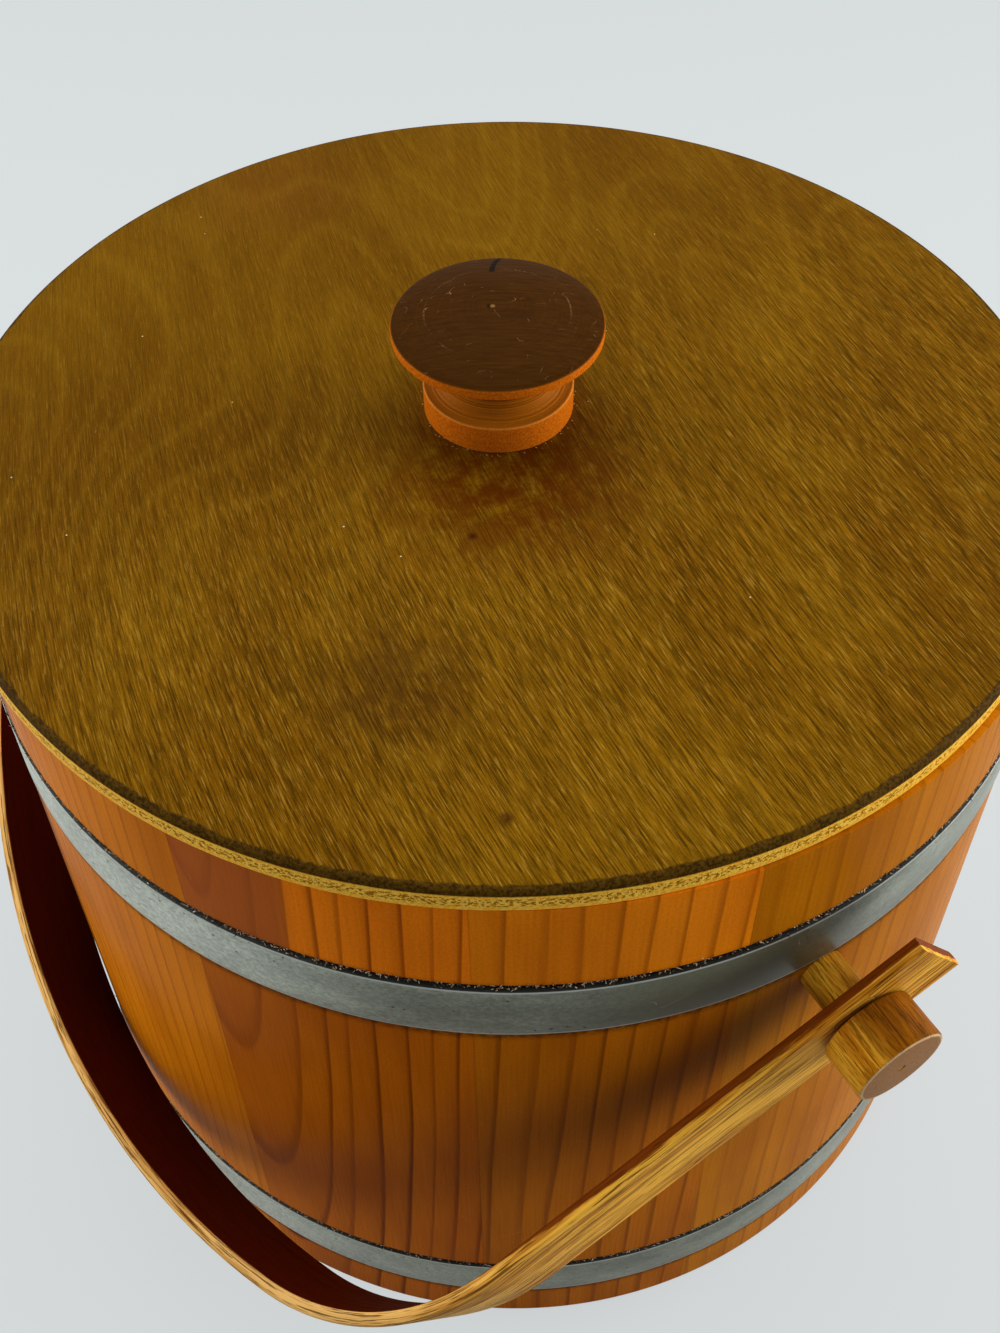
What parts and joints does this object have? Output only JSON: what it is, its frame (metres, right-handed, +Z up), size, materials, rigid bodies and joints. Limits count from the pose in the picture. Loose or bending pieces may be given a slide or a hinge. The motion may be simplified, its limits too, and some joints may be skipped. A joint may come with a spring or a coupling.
{
  "type": "firkin",
  "caption": "Wooden firkin: a tapered coopered bucket with two metal hoops, a bentwood bail on turned pegs and a lift-off plywood lid with a turned knob.",
  "frame": {"origin": "centre of the ring that the stave ends stand on, on the resting plane, on the bucket's axis", "axes": "+Z up along the bucket's axis, +X through the right peg along the bail's pivot, the bail hangs towards -Y"},
  "size_m": [0.3292, 0.3028, 0.266],
  "materials": {
    "stave_wood": "amber lacquer over softwood, glossy",
    "bottom_wood": "planed softwood, thin lacquer",
    "dowel_wood": "bare hardwood dowel",
    "hoop_metal": "dull galvanised strap, fine scratches",
    "rivet_metal": "hammered soft metal",
    "peg_wood": "turned oak, clear lacquer",
    "bail_wood": "steam-bent oak, clear lacquer",
    "lid_plywood": "three-ply, olive-amber lacquer, worn rim",
    "locator_wood": "sanded plywood disc",
    "knob_wood": "turned hardwood, dark worn top",
    "screw_metal": "slotted wood screws"
  },
  "bodies": {
    "bucket": {"stave_01": "stave_wood", "stave_02": "stave_wood", "stave_03": "stave_wood", "stave_04": "stave_wood", "stave_05": "stave_wood", "stave_06": "stave_wood", "stave_07": "stave_wood", "stave_08": "stave_wood", "stave_09": "stave_wood", "stave_10": "stave_wood", "stave_11": "stave_wood", "stave_12": "stave_wood", "stave_13": "stave_wood", "stave_14": "stave_wood", "bottom_board_front": "bottom_wood", "bottom_board_middle": "bottom_wood", "bottom_board_back": "bottom_wood", "bottom_dowels": "dowel_wood", "lower_hoop": "hoop_metal", "lower_hoop_rivets": "rivet_metal", "upper_hoop": "hoop_metal", "upper_hoop_rivets": "rivet_metal", "right_peg": "peg_wood", "left_peg": "peg_wood"},
    "bail": {"bail": "bail_wood"},
    "lid": {"lid_board": "lid_plywood", "lid_locator": "locator_wood", "locator_screws": "screw_metal", "knob": "knob_wood", "knob_screw": "screw_metal"}
  },
  "joints": [
    {"name": "bail_swing", "type": "hinge", "parent": "bucket", "child": "bail", "pos_m": [0, 0, 0.175], "axis": [-1, 0, 0], "range_deg": [0, 252.8]},
    {"name": "lid_lift", "type": "slide", "parent": "bucket", "child": "lid", "axis": [0, 0, 1], "range_m": [0, 0.06]}
  ]
}
